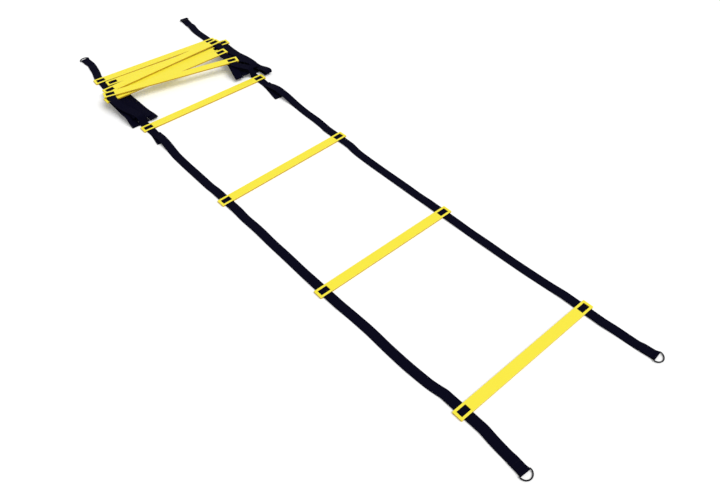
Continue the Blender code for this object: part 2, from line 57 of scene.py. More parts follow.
# %% [markdown]
# ## Writing shader maths as plain expressions
# A procedural finish is a sum of small steps, and each step is a node. A tiny class that stands for
# one socket lets us write those steps as Python expressions: `ribs * 0.5 + 1` adds two Math nodes
# and links them. A second class keeps a node tree and adds any other node with its settings and
# sockets, and a third is such a tree inside a material, with its shader.


# %% Node helpers
class Value:
    """One number that changes over a surface, as the socket that it comes out of."""

    def __init__(self, nodes, socket):
        self.nodes = nodes
        self.socket = socket

    def maths(self, operation, *others):
        return self.nodes.maths(operation, self, *others)

    def __add__(self, other):
        return self.maths("ADD", other)

    def __radd__(self, other):
        return self.maths("ADD", other)

    def __sub__(self, other):
        return self.maths("SUBTRACT", other)

    def __rsub__(self, other):
        return self.nodes.maths("SUBTRACT", other, self)

    def __mul__(self, other):
        return self.maths("MULTIPLY", other)

    def __rmul__(self, other):
        return self.maths("MULTIPLY", other)

    def __truediv__(self, other):
        return self.maths("DIVIDE", other)

    def __pow__(self, other):
        return self.maths("POWER", other)


class Nodes:
    """A node tree, and the ways to add to it."""

    def __init__(self, tree):
        self.tree = tree

    def node(self, kind, settings=None, **sockets):
        """Add a node, set what it is, then fill or link its sockets by name or number."""
        made = self.tree.nodes.new(kind)
        for name, value in (settings or {}).items():
            setattr(made, name, value)
        for name, value in sockets.items():
            key = int(name[1:]) if name[0] == "_" else name.replace("_", " ")
            self.fill(made.inputs[key], value)
        return made

    def fill(self, socket, value):
        """Link what changes, and set what is the same all over."""
        if isinstance(value, Value):
            self.tree.links.new(value.socket, socket)
        elif isinstance(value, bpy.types.NodeSocket):
            self.tree.links.new(value, socket)
        else:
            socket.default_value = value

    def maths(self, operation, *values):
        made = self.node("ShaderNodeMath", {"operation": operation})
        for socket, value in zip(made.inputs, values):
            self.fill(socket, value)
        return Value(self, made.outputs[0])

    def parts(self, vector):
        """The three numbers of a vector."""
        made = self.node("ShaderNodeSeparateXYZ", None, Vector=vector)
        return [Value(self, socket) for socket in made.outputs]

    def mix(self, share, low, high):
        """A colour between two others."""
        made = self.node("ShaderNodeMix", {"data_type": "RGBA"}, _0=share, _6=low, _7=high)
        return made.outputs[2]

    def coordinates(self, kind="Object"):
        return self.node("ShaderNodeTexCoord").outputs[kind]

    def noise(self, place, scale, detail=2.0, roughness=0.5):
        sockets = {"Vector": place, "Scale": scale, "Detail": detail, "Roughness": roughness}
        return Value(self, self.node("ShaderNodeTexNoise", None, **sockets).outputs[0])

    def peaks(self, height, start, gain):
        """What stands above a start, made stronger."""
        return (height - start).maths("MAXIMUM", 0.0) * gain


class Finish(Nodes):
    """A material and the nodes that give it its look."""

    def __init__(self, name):
        self.material = bpy.data.materials.new(name)
        self.material.use_nodes = True
        super().__init__(self.material.node_tree)
        self.shader = self.tree.nodes["Principled BSDF"]

    def set(self, **sockets):
        """Fill the shader's own sockets."""
        for name, value in sockets.items():
            self.fill(self.shader.inputs[name.replace("_", " ")], value)

    def bump(self, height, strength, distance):
        sockets = {"Strength": strength, "Distance": distance, "Height": height}
        self.set(Normal=self.node("ShaderNodeBump", None, **sockets).outputs[0])


print("node helpers ready:", ", ".join(kind.__name__ for kind in (Value, Nodes, Finish)))

# %% [markdown]
# ## Camera
# The picture is taken from the left of the near end, looking down at 47 degrees along the ladder.
# The place and turn of the camera were worked out from the rungs, which are parallel bars of one
# length on a flat floor: only one camera makes all their corners fall where the photograph has
# them. Its place is counted from the top of the first rung, so it stays right if the ladder moves
# in its frame.

# %% The photograph's camera
CAMERA_OFFSET = (-0.7947, -0.3805, 1.2081)
CAMERA_YAW = math.radians(41.006)
CAMERA_PITCH = math.radians(47.112)
CAMERA_ROLL = math.radians(-0.861)
SENSOR_WIDTH = 36.0
FOCAL_LENGTH = 33.915
NEAREST_SEEN = 0.01


def add_object(name, data):
    """Put a mesh, a lamp or a camera into the scene."""
    made = bpy.data.objects.new(name, data)
    bpy.context.scene.collection.objects.link(made)
    return made


rung_low, rung_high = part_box("rung_01")
first_middle = Vector(((rung_low.x + rung_high.x) / 2, (rung_low.y + rung_high.y) / 2, 0))
lens = bpy.data.cameras.new("camera")
lens.sensor_width = SENSOR_WIDTH
lens.lens = FOCAL_LENGTH
lens.clip_start = NEAREST_SEEN
camera = add_object("camera", lens)
first_top = first_middle + Vector((0, 0, rung_high.z))
aim = Matrix.Rotation(-CAMERA_YAW, 4, "Z") @ Matrix.Rotation(math.pi / 2 - CAMERA_PITCH, 4, "X")
aim = aim @ Matrix.Rotation(CAMERA_ROLL, 4, "Z")
camera.matrix_world = Matrix.Translation(first_top + Vector(CAMERA_OFFSET)) @ aim
bpy.context.scene.camera = camera
print("camera at", [round(value, 3) for value in camera.matrix_world.translation])

# %% [markdown]
# ## Floor and light
# The ladder lies on seamless white paper under soft light from above and from the right of the
# picture, so its shadows are faint and fall to the picture's left. One sun lamp with a wide angle
# gives that softness evenly along two metres of ladder. The paper is a plain white surface; for the
# camera and in mirrors it also glows a little, which lifts the lit paper to pure white and leaves
# the shadows in it.

# %% White floor and soft light
FLOOR_HALF_SIZE = 8.0
FLOOR_DROP = 0.0002
FLOOR_WHITE = 0.92
FLOOR_GLOW = 0.08
AMBIENT_STRENGTH = 0.545
SUN_STRENGTH = 2.02
SUN_ANGLE = math.radians(45)
SUN_ELEVATION = math.radians(60)
SUN_AZIMUTH = math.radians(-60)


def camera_sees(nodes):
    """1 for what the camera, a mirror or a glass shows, 0 for light on its way to the object."""
    path = nodes.node("ShaderNodeLightPath")
    names = ("Is Camera Ray", "Is Glossy Ray", "Is Transmission Ray")
    camera_ray, glossy_ray, clear_ray = [Value(nodes, path.outputs[name]) for name in names]
    return (camera_ray + glossy_ray + clear_ray).maths("MINIMUM", 1.0)


paper_sheet = bmesh.new()
bmesh.ops.create_grid(paper_sheet, x_segments=1, y_segments=1, size=FLOOR_HALF_SIZE)
bmesh.ops.translate(paper_sheet, verts=paper_sheet.verts, vec=(0, 0, -FLOOR_DROP))
paper_mesh = bpy.data.meshes.new("floor")
paper_sheet.to_mesh(paper_mesh)
paper_sheet.free()
floor = add_object("floor", paper_mesh)

paper = Finish("white_paper")
paper.set(Base_Color=(FLOOR_WHITE, FLOOR_WHITE, FLOOR_WHITE, 1), Roughness=1.0)
paper.set(Specular_IOR_Level=0.0, Emission_Color=(1, 1, 1, 1))
paper.set(Emission_Strength=camera_sees(paper) * FLOOR_GLOW)
paper_mesh.materials.append(paper.material)

studio = bpy.data.worlds.new("studio")
studio.use_nodes = True
bpy.context.scene.world = studio
sky = Nodes(studio.node_tree)
background = sky.tree.nodes["Background"]
background.inputs["Color"].default_value = (1, 1, 1, 1)
seen_share = camera_sees(sky)
sky.fill(background.inputs["Strength"], seen_share + (1 - seen_share) * AMBIENT_STRENGTH)

sun = bpy.data.lights.new("soft_sun", "SUN")
sun.energy = SUN_STRENGTH
sun.angle = SUN_ANGLE
sun_lamp = add_object("soft_sun", sun)
sun_lamp.rotation_euler = (0, math.pi / 2 - SUN_ELEVATION, SUN_AZIMUTH)
bpy.context.scene.view_settings.view_transform = "Standard"
print("floor, sky and one soft sun,", round(math.degrees(SUN_ANGLE)), "degrees wide")

# %% [markdown]
# ## Where the rungs lie
# Every place on the ladder is written as a share of one bay, the distance from rung to rung, and as
# a turn in degrees. A storey is one rung and one layer of webbing: the piled rungs lie one storey
# above another. A strap crosses each rung through a window near its end, so the windows are the
# points that the straps run through.

# %% Sizes and rung places
RUNG_LENGTH = 0.430
RUNG_WIDTH = 0.0272
RUNG_THICKNESS = 0.0045
WINDOW_SIDE_PLAY = 0.0006
WINDOW_WIDTH = 0.0158
END_WALL = 0.0067
KEEPER_WIDTH = 0.008
KEEPER_THICKNESS = 0.0012
STRAP_WIDTH = 0.025
STRAP_THICKNESS = 0.0013
CLEARANCE = 0.0003
WIRE_RADIUS = 0.0011
BAY = 0.410
# Across and along in bays, turn in degrees, storey
RUNG_PLACE_SHARES = [
    (0.000, 0.000, -0.6, 0),
    (-0.022, 1.038, -0.5, 0),
    (-0.008, 2.046, 1.0, 0),
    (0.009, 3.044, -1.3, 0),
    (-0.049, 3.390, -13.9, 5),
    (-0.049, 3.461, -0.6, 4),
    (0.006, 3.624, 2.4, 3),
    (-0.010, 3.567, 0.6, 2),
    (0.087, 3.686, -5.7, 1),
    (0.035, 3.800, -4.8, 0),
]
SIDE_NAMES = {-1: "left", 1: "right"}
HALF_STRAP = STRAP_THICKNESS / 2
WINDOW_LENGTH = STRAP_WIDTH + 2 * WINDOW_SIDE_PLAY
CHANNEL_FLOOR = KEEPER_THICKNESS + CLEARANCE
CHANNEL_TOP = CHANNEL_FLOOR + STRAP_THICKNESS + CLEARANCE
CHANNEL_LINE = CHANNEL_FLOOR + HALF_STRAP
RETURN_LINE = -CLEARANCE - HALF_STRAP
STOREY = RUNG_THICKNESS + STRAP_THICKNESS + 2 * CLEARANCE
WINDOW_PLACE = RUNG_LENGTH / 2 - END_WALL - WINDOW_LENGTH / 2


def heading(turn):
    """The way along the ladder after a turn, seen from above."""
    return Vector((-math.sin(turn), math.cos(turn)))


def rung_place(index):
    across, along, turn, storey = RUNG_PLACE_SHARES[index]
    return Vector((across * BAY, along * BAY)), math.radians(turn), storey * STOREY


def window_place(index, side):
    """Where a strap's line crosses a rung, seen from above."""
    middle, turn, _ = rung_place(index)
    return middle + side * WINDOW_PLACE * Vector((math.cos(turn), math.sin(turn)))


def crossing(index, side):
    """The window that a strap crosses, the way through it and the rung's height."""
    _, turn, base = rung_place(index)
    return window_place(index, side), heading(turn), base


AHEAD = heading(0)
print("rungs:", len(RUNG_PLACE_SHARES), "storey in mm:", round(STOREY * 1000, 2))

# %% [markdown]
# ## A strap's line
# Webbing doesn't stretch, so a strap is a line of a fixed length with a flat section on it. The
# section always lies level from edge to edge, because the webbing rests on the floor, on a rung or
# on itself. The line is laid out as a hand would lay it: runs of points, and hairpin folds where
# the webbing doubles back.

# %% Line helpers
STRAIGHT_END = 0.002
TRAVEL_MARGIN = 0.001
BEND_SHARE = 0.45
BEND_STEPS = 5
TURN_STEPS = 12
SWEEP_STEPS = 10


def at_height(plan, height):
    return Vector((plan.x, plan.y, height))


def eased(points):
    """Round the corners of a line of points and keep its straight runs."""
    smooth = [points[0]]
    for before, corner, after in zip(points, points[1:], points[2:]):
        reach = BEND_SHARE * min((corner - before).length, (after - corner).length)
        start = corner + (before - corner).normalized() * reach
        finish = corner + (after - corner).normalized() * reach
        for step in range(BEND_STEPS + 1):
            share = step / BEND_STEPS
            smooth.append(start.lerp(corner, share).lerp(corner.lerp(finish, share), share))
    smooth.append(points[-1])
    return smooth


def swept(start, start_way, finish, finish_way, steps=SWEEP_STEPS, bunching=1.0):
    """A plan curve that leaves and arrives along given ways, its points bunched at the start."""
    reach = (finish - start).length / 3
    handles = [start, start + start_way * reach, finish - finish_way * reach, finish]
    curve = []
    for step in range(steps + 1):
        share = (step / steps) ** bunching
        line = handles
        while len(line) > 1:
            line = [a.lerp(b, share) for a, b in zip(line, line[1:])]
        curve.append(line[0])
    return curve


def rise(share):
    share = min(max(share, 0.0), 1.0)
    return share * share * (3 - 2 * share)


class Route:
    """A strap's centre line, with the way across the strap at each point."""

    def __init__(self, point, way):
        self.points = [point]
        self.across = [Vector((way.y, -way.x, 0)).normalized()]
        self.forward = 1

    def run(self, line):
        """Add a run of points; the strap's edges stay square to it, seen from above."""
        for before, point in zip([self.points[-1]] + line, line):
            way = (point - before).to_2d() * self.forward
            if (point - before).length < CLEARANCE:
                continue
            self.points.append(point)
            self.across.append(Vector((way.y, -way.x, 0)).normalized())

    def fold(self, height, way):
        """Turn back over or under the last point and come out at another height."""
        start = self.points[-1].copy()
        radius = abs(height - start.z) / 2
        outward = way * self.forward
        for step in range(1, TURN_STEPS + 1):
            angle = math.pi * step / TURN_STEPS
            bulge = outward * radius * math.sin(angle)
            level = start.z + (height - start.z) * (1 - math.cos(angle)) / 2
            self.points.append(Vector((start.x + bulge.x, start.y + bulge.y, level)))
            self.across.append(Vector((way.y, -way.x, 0)).normalized())
        self.forward = -self.forward


def straight_half(travel):
    """Half of the straight stretch that a rung with this travel needs."""
    return RUNG_WIDTH / 2 + travel + TRAVEL_MARGIN


def through(index, side, travel, way):
    """The straight stretch of webbing in one rung, from its near side to its far side."""
    window, _, base = crossing(index, side)
    half = straight_half(travel)
    reaches = (-half, STRAIGHT_END - half, half - STRAIGHT_END, half)
    return [at_height(window + way * reach, base + CHANNEL_LINE) for reach in reaches]


print("line helpers ready")

# %% [markdown]
# ## Tails and laid bays
# Each strap end is turned round the bar of its D-ring and sewn to itself, so two layers lie on each
# other there. Between the laid rungs the webbing rests on the floor and waves a little, because it
# has been folded before. Each wave is a share of its bay, a drift in strap widths and a lift in
# strap thicknesses.

# %% Tails and bays
LAP = 0.032
LAP_FLARE = 0.007
LAP_HEIGHT = 0.0007
STEP_RUN = 0.010
FLOOR_GAP = 0.0001
STITCH_START = 0.011
LOOP_RADIUS = WIRE_RADIUS + CLEARANCE + HALF_STRAP
LAP_LINE = LAP_HEIGHT + HALF_STRAP
BAR_HEIGHT = LAP_LINE + LOOP_RADIUS
UPPER_LINE = LAP_LINE + STRAP_THICKNESS + CLEARANCE
# The ring's place from its window in bays, the tail's turn in degrees, and its waves
TAIL_SHARES = {
    ("near", -1): ((-0.025, -0.396), -5.0, [(0.46, 0.04, 0.8)]),
    ("near", 1): ((0.022, -0.438), 5.5, [(0.36, -0.07, 0.1), (0.53, -0.06, 0.9)]),
    ("far", -1): ((0.045, 0.360), 3.0, [(0.40, 0.25, 2.0), (0.62, 0.18, 0.5)]),
    ("far", 1): ((0.036, 0.464), -7.0, [(0.30, -0.02, 2.6), (0.52, -0.20, 0.4)]),
}
BAY_WAVE_SHARES = {
    -1: [
        [(0.20, -0.15, 0.0), (0.35, -0.24, 0.9), (0.50, -0.15, 0.0),
         (0.64, 0.00, 0.5), (0.79, 0.00, 0.0)],
        [(0.20, -0.02, 0.0), (0.36, 0.00, 0.6), (0.50, -0.02, 0.0),
         (0.64, 0.04, 1.1), (0.79, -0.03, 0.0)],
        [(0.18, -0.11, 0.0), (0.32, -0.14, 0.7), (0.46, -0.17, 0.0), (0.60, -0.16, 0.0)],
    ],
    1: [
        [(0.22, -0.02, 0.0), (0.36, -0.10, 0.6), (0.50, -0.10, 0.0),
         (0.64, -0.10, 1.2), (0.79, -0.06, 0.0)],
        [(0.20, -0.06, 0.0), (0.35, -0.11, 0.9), (0.49, -0.14, 0.0),
         (0.64, -0.19, 0.5), (0.79, -0.16, 0.0)],
        [(0.16, 0.06, 0.0), (0.28, 0.14, 0.8), (0.40, 0.14, 0.0)],
    ],
}


def end_rung(end):
    return 0 if end == "near" else len(RUNG_PLACE_SHARES) - 1


def ring_place(end, side):
    """Where a D-ring's bar lies, and the turn of the tail there."""
    offset, turn, _ = TAIL_SHARES[(end, side)]
    return window_place(end_rung(end), side) + BAY * Vector(offset), math.radians(turn)


def tail_way(end, turn):
    """From the ring's bar towards the rungs."""
    return heading(turn) if end == "near" else -heading(turn)


def wave(start, finish, shares):
    """A slack stretch on the floor: share of the way, drift and lift of each point."""
    line = []
    for share, drift, lift in shares:
        plan = start.lerp(finish, share) + Vector((drift * STRAP_WIDTH, 0))
        line.append(at_height(plan, HALF_STRAP + lift * STRAP_THICKNESS))
    return line


def tail_run(end, side):
    """The upper layer from the ring's bar, off the lap and on towards the nearest rung."""
    bar, turn = ring_place(end, side)
    way = tail_way(end, turn)
    steps = [(LAP_FLARE, UPPER_LINE), (LAP + CLEARANCE, UPPER_LINE), (LAP + STEP_RUN, HALF_STRAP)]
    lap = [at_height(bar + way * reach, height) for reach, height in steps]
    return lap + wave(bar, window_place(end_rung(end), side), TAIL_SHARES[(end, side)][2])


def bay_run(index, side):
    """The webbing that leaves one laid rung, crosses the floor and reaches the next."""
    start = window_place(index, side)
    return wave(start, window_place(index + 1, side), BAY_WAVE_SHARES[side][index])


print("tails:", len(TAIL_SHARES), "bays on each side:", len(BAY_WAVE_SHARES[-1]))

# %% [markdown]
# ## The tuck before the pile
# Before the fourth rung some slack is laid back under itself: the webbing runs over a low hump,
# folds under and back, folds under once more and goes on into the rung. So the tuck is three runs
# with two hairpin folds. Its places are counted from the window in strap widths.

# %% Slack laid back under itself
LAID_COUNT = 4
TURNING_TRAVEL = 0.005
FOLD_DROP = 0.0020
HEAP_MARGIN = 0.006
TIP_LEAD = 0.012
# Place and turn of the under layer's tip, place and turn of the upper fold, and the hump before it
TUCK_SHARES = {
    -1: (
        (-0.33, -3.50), -7.0, (0.05, -1.78), -3.0,
        [(-5.7, -0.16, 0.0), (-4.3, -0.06, 4.6), (-3.0, 0.0, 6.0)],
    ),
    1: (
        (-0.60, -5.10), -8.0, (0.00, -1.78), 0.0,
        [(-7.6, 0.12, 0.0), (-5.9, 0.10, 7.0), (-4.0, 0.06, 10.5), (-2.8, 0.02, 6.5)],
    ),
}


def tuck(route, side, line):
    """The slack before the last laid rung, laid back under itself."""
    window = window_place(LAID_COUNT - 1, side)
    tip_offset, tip_turn, upper_offset, upper_turn, hump = TUCK_SHARES[side]
    low_line = HALF_STRAP + FLOOR_GAP
    layers = [low_line, low_line + FOLD_DROP, low_line + 2 * FOLD_DROP]
    tip_way = heading(math.radians(tip_turn))
    upper_way = heading(math.radians(upper_turn))
    tip = window + STRAP_WIDTH * Vector(tip_offset)
    upper = window + STRAP_WIDTH * Vector(upper_offset)
    for along, across, lift in hump:
        plan = window + STRAP_WIDTH * Vector((across, along))
        line.append(at_height(plan, HALF_STRAP + lift * STRAP_THICKNESS))
    line.append(at_height(upper - upper_way * TIP_LEAD, layers[2]))
    line.append(at_height(upper, layers[2]))
    route.run(eased([route.points[-1]] + line)[1:])
    route.fold(layers[1], upper_way)
    beside_tip = tip + tip_way * HEAP_MARGIN
    middle = swept(upper - upper_way * HEAP_MARGIN, -upper_way, beside_tip, -tip_way) + [tip]
    route.run([at_height(plan, layers[1]) for plan in middle])
    route.fold(layers[0], tip_way)
    under = window - AHEAD * (straight_half(TURNING_TRAVEL) + STEP_RUN)
    lower = swept(beside_tip, tip_way, under, AHEAD)
    route.run([at_height(plan, layers[0]) for plan in lower])
    route.run(through(LAID_COUNT - 1, side, TURNING_TRAVEL, AHEAD))


print("tucks before rung", LAID_COUNT, "on each side, three layers deep")

# %% [markdown]
# ## The heap beside the pile
# Past the fourth rung the webbing climbs to the top of the pile, and then works its way down: it
# goes through a rung, folds under it at the far side, comes back to the near side, folds again in
# the heap, and runs to the next rung down. Each leg is drawn in plan first. The heap is level in
# the pile and slopes to the floor, so a leg then gets its heights from how far along it is.

# %% Heights in the heap
PILE_FIRST = LAID_COUNT
PILE_FOLDED = end_rung("far") - PILE_FIRST
PILE_TRAVEL = 0.002
HEAP_SLOPE = 0.060
OPENING_RUN = 0.050
SINKING_RUN = 0.040
# Place of each near fold from the fourth rung's window, its turn, how far it gapes and sinks
HEAP_TIP_SHARES = {
    -1: [
        ((-0.33, 1.80), -4.0, 0.0, 0.0),
        ((-0.93, 1.22), -2.0, 0.0, 10.7),
        ((0.80, 1.50), -1.0, 0.0, 0.0),
        ((1.35, 1.00), 2.0, 0.0, 0.0),
        ((0.30, 1.20), 4.0, 0.0, 0.0),
    ],
    1: [
        ((-2.00, 1.26), -6.0, 0.0, 9.0),
        ((0.80, 1.60), -8.0, 0.0, 0.0),
        ((-0.90, 1.30), -4.0, 0.0, 0.0),
        ((1.50, 0.00), 3.0, 7.0, 0.0),
        ((0.50, 1.35), -1.0, 0.0, 0.0),
    ],
}


def heap_levels(side):
    """Where the heap's layers leave the pile and where they have sunk, seen from the near end."""
    edges = []
    for index in range(PILE_FIRST, PILE_FIRST + PILE_FOLDED + 1):
        lean = WINDOW_LENGTH / 2 * abs(math.sin(rung_place(index)[1]))
        edges.append(window_place(index, side).y - RUNG_WIDTH / 2 - lean)
    top = min(edges) - HEAP_MARGIN
    return top - HEAP_SLOPE, top


def layered(plan_line, side, pile_line, near_line, opening=0.0, sinking=0.0):
    """Give a heap leg its heights: level in the pile, lower towards the near end."""
    low, high = heap_levels(side)
    tip = min(plan.y for plan in plan_line)
    line = []
    for plan in plan_line:
        height = near_line + (pile_line - near_line) * rise((plan.y - low) / (high - low))
        spread = opening * rise(1 - (plan.y - tip) / OPENING_RUN)
        sunk = sinking * rise(1 - (plan.y - tip) / SINKING_RUN)
        line.append(at_height(plan, height + spread - sunk))
    return line


def heap_tip(side, fold):
    offset, turn, opening, sinking = HEAP_TIP_SHARES[side][fold]
    place = window_place(LAID_COUNT - 1, side) + STRAP_WIDTH * Vector(offset)
    return place, math.radians(turn), opening * STRAP_THICKNESS, sinking * STRAP_THICKNESS


for side, name in SIDE_NAMES.items():
    print(name, "heap is on the floor at y", round(heap_levels(side)[0], 3))

# %% Climb, legs and folds of the heap
CLIMB_STEPS = 36
CLIMB_BUNCHING = 1.8
RAMP_LEAD = 0.004
RAMP_RUN = 0.014
LEG_STEPS = 14
HEAP_FOLD_DROP = 0.0032
HEAP_LAYER_RISE = 0.0047
TIP_APPROACH_SHARES = (1.0, 0.75, 0.5, 0.25, 0.0)


def climb(route, side, crest):
    """From the last laid rung, up over the heap and into the top rung."""
    leave = route.points[-1].to_2d()
    window, way, base = crossing(PILE_FIRST, side)
    arrive = window - way * straight_half(PILE_TRAVEL)
    plan_line = swept(leave, AHEAD, arrive, way, CLIMB_STEPS, CLIMB_BUNCHING)
    for over in layered(plan_line, side, base + CHANNEL_LINE, crest):
        climbed = rise(((over.to_2d() - leave).length - RAMP_LEAD) / RAMP_RUN)
        over.z = CHANNEL_LINE + (over.z - CHANNEL_LINE) * climbed
        route.run([over])


def gather(route, side):
    """Climb over the heap to the top rung, then fold down through the pile to the lowest one."""
    lowest_tip = HALF_STRAP + FLOOR_GAP
    climb(route, side, lowest_tip + PILE_FOLDED * HEAP_LAYER_RISE + STRAP_THICKNESS)
    half = straight_half(PILE_TRAVEL)
    for fold in range(PILE_FOLDED):
        index = PILE_FIRST + fold
        window, way, base = crossing(index, side)
        route.run(through(index, side, PILE_TRAVEL, way)[1:])
        route.fold(base + RETURN_LINE, way)
        tip, tip_turn, opening, sinking = heap_tip(side, fold)
        tip_way = heading(tip_turn)
        lower_tip = lowest_tip + (PILE_FOLDED - 1 - fold) * HEAP_LAYER_RISE
        back = [window + way * (half - STRAIGHT_END), window - way * (half - STRAIGHT_END)]
        approach = [tip + tip_way * TIP_LEAD * share for share in TIP_APPROACH_SHARES]
        back += swept(window - way * half, -way, approach[0], -tip_way, LEG_STEPS)[:-1] + approach
        upper_tip = lower_tip + HEAP_FOLD_DROP
        route.run(layered(back, side, base + RETURN_LINE, upper_tip, opening, sinking))
        next_window, next_way, next_base = crossing(index + 1, side)
        leg = swept(approach[0], tip_way, next_window - next_way * half, next_way, LEG_STEPS)
        forth = approach[::-1] + leg[1:]
        lower = layered(forth, side, next_base + CHANNEL_LINE, lower_tip, 0, sinking)
        route.fold(lower[0].z, tip_way)
        route.run(lower[1:])


print("folds in each heap:", PILE_FOLDED)

# %% Each strap from ring to ring
LAID_TRAVEL = 0.030
STRAIGHT_LEAD = 0.008


def strap_route(side):
    """The whole centre line, from under the near ring to under the far ring."""
    bar, turn = ring_place("near", side)
    way = heading(turn)
    route = Route(at_height(bar + way * LAP, LAP_LINE), way)
    route.forward = -1
    route.run([at_height(bar + way * STITCH_START, LAP_LINE), at_height(bar, LAP_LINE)])
    route.fold(BAR_HEIGHT + LOOP_RADIUS, way)
    line = [route.points[-1]] + tail_run("near", side)
    for index in range(LAID_COUNT - 1):
        stretch = through(index, side, LAID_TRAVEL, AHEAD)
        lead = AHEAD.to_3d() * STRAIGHT_LEAD
        line += [stretch[0] - lead] + stretch + [stretch[-1] + lead] + bay_run(index, side)
    route.run(eased(line[:-1])[1:])
    tuck(route, side, [line[-1]])
    gather(route, side)
    last = end_rung("far")
    far_way = crossing(last, side)[1]
    stretch = through(last, side, PILE_TRAVEL, far_way)
    route.run(stretch[1:])
    far_bar, far_turn = ring_place("far", side)
    tail = [at_height(far_bar, BAR_HEIGHT + LOOP_RADIUS)] + tail_run("far", side)
    lead = stretch[-1] + far_way.to_3d() * STRAIGHT_LEAD
    route.run(eased([route.points[-1], lead] + tail[::-1])[1:])
    far_out = heading(far_turn)
    route.fold(LAP_LINE, far_out)
    route.run([at_height(far_bar - far_out * reach, LAP_LINE) for reach in (STITCH_START, LAP)])
    return route


routes = {side: strap_route(side) for side in SIDE_NAMES}
for side, route in routes.items():
    length = sum((after - before).length for before, after in zip(route.points, route.points[1:]))
    print(SIDE_NAMES[side], "strap:", round(length, 3), "m along", len(route.points), "points")

# %% [markdown]
# ## Laying the webbing
# A strap could be a curve with a flat profile, but a curve twists where its line doubles back.
# Instead each strap is cut flat, as the real one was: a grid 25 mm wide and four metres long. Its
# flat place is kept as its UV map, in metres, so the weave follows the webbing through every fold.
# Then each row of the grid is moved to its place on the line. Solidify gives the webbing its
# thickness, and a small bevel rounds its selvedges.

# %% Two straps of webbing
ROW_SPACING = 0.0022
COLUMN_SHARES = (0.0, 0.035, 0.14, 0.5, 0.86, 0.965, 1.0)
SELVEDGE_ROUND = 0.00042
SELVEDGE_STEPS = 2
SELVEDGE_ANGLE = math.radians(55)


def averaged_across(across):
    """Share each turn of the strap between neighbouring points."""
    nearby = [across[max(i - 1, 0):i + 2] for i in range(len(across))]
    return [sum(ways, Vector((0, 0, 0))).normalized() for ways in nearby]


def tangent(before, point, after):
    """The way through a point, closer to the way of its shorter side."""
    back = point - before
    ahead = after - point
    return (back.normalized() / back.length + ahead.normalized() / ahead.length).normalized()


def fine_line(route):
    """The strap's line with a point about every row spacing, and the way across at each."""
    points = route.points
    across = averaged_across(route.across)
    ways = [(points[1] - points[0]).normalized()]
    ways += [tangent(*points[i - 1:i + 2]) for i in range(1, len(points) - 1)]
    ways += [(points[-1] - points[-2]).normalized()]
    fine = [(points[0], across[0])]
    for i in range(len(points) - 1):
        gap = (points[i + 1] - points[i]).length
        count = max(1, round(gap / ROW_SPACING))
        handles = points[i] + ways[i] * gap / 3, points[i + 1] - ways[i + 1] * gap / 3
        curve = interpolate_bezier(points[i], *handles, points[i + 1], count + 1)
        for step in range(1, count + 1):
            fine.append((curve[step], across[i].lerp(across[i + 1], step / count).normalized()))
    return fine


def flat_webbing(row_lengths):
    """A flat grid of webbing with its place in metres as its UV map, and its vertices by row."""
    cloth = bmesh.new()
    columns = len(COLUMN_SHARES) - 1
    rows = len(row_lengths) - 1
    bmesh.ops.create_grid(cloth, x_segments=columns, y_segments=rows, size=0.5)
    cells = {}
    for vert in cloth.verts:
        column = round((vert.co.x + 0.5) * columns)
        row = round((vert.co.y + 0.5) * rows)
        cells[vert] = (column, row)
        vert.co = (COLUMN_SHARES[column] * STRAP_WIDTH, row_lengths[row], 0)
    flat = cloth.loops.layers.uv.new("flat")
    for face in cloth.faces:
        for loop in face.loops:
            loop[flat].uv = loop.vert.co.to_2d()
    return cloth, cells


def applied(target):
    """Turn an object's live modifiers into its mesh."""
    bpy.context.view_layer.update()
    shape = target.evaluated_get(bpy.context.evaluated_depsgraph_get())
    finished = bpy.data.meshes.new_from_object(shape)
    target.modifiers.clear()
    target.data = finished
    finished.name = target.name


def add_bevel(piece, name, width, steps, angle):
    """Round every edge that is sharper than an angle."""
    edge = piece.modifiers.new(name, "BEVEL")
    edge.width = width
    edge.segments = steps
    edge.limit_method = "ANGLE"
    edge.angle_limit = angle


def laid_at(plan, height, turn):
    """A place on the ladder, and a turn about the upright."""
    place = Matrix.Translation(first_middle + at_height(plan, height))
    return place @ Matrix.Rotation(turn, 4, "Z")


def new_piece(name, shape, look, place=None):
    """Make a piece of a bmesh, with its place in its mesh."""
    mesh = bpy.data.meshes.new(name)
    if place is not None:
        bmesh.ops.transform(shape, matrix=place, verts=shape.verts)
    shape.to_mesh(mesh)
    shape.free()
    mesh.polygons.foreach_set("use_smooth", [True] * len(mesh.polygons))
    mesh.materials.append(look)
    return add_object(name, mesh)


def make_strap(side, look):
    fine = fine_line(routes[side])
    lengths = [0.0]
    for (before, _), (after, _) in zip(fine, fine[1:]):
        lengths.append(lengths[-1] + (after - before).length)
    cloth, cells = flat_webbing(lengths)
    for vert, (column, row) in cells.items():
        point, across = fine[row]
        vert.co = first_middle + point + across * (COLUMN_SHARES[column] - 0.5) * STRAP_WIDTH
    bmesh.ops.recalc_face_normals(cloth, faces=cloth.faces)
    strap = new_piece("webbing_" + SIDE_NAMES[side], cloth, look)
    body = strap.modifiers.new("thickness", "SOLIDIFY")
    body.thickness = STRAP_THICKNESS
    body.offset = 0
    body.use_even_offset = True
    add_bevel(strap, "selvedges", SELVEDGE_ROUND, SELVEDGE_STEPS, SELVEDGE_ANGLE)
    applied(strap)
    return strap, lengths[-1]


print("webbing", STRAP_WIDTH, "m wide,", STRAP_THICKNESS, "m thick")
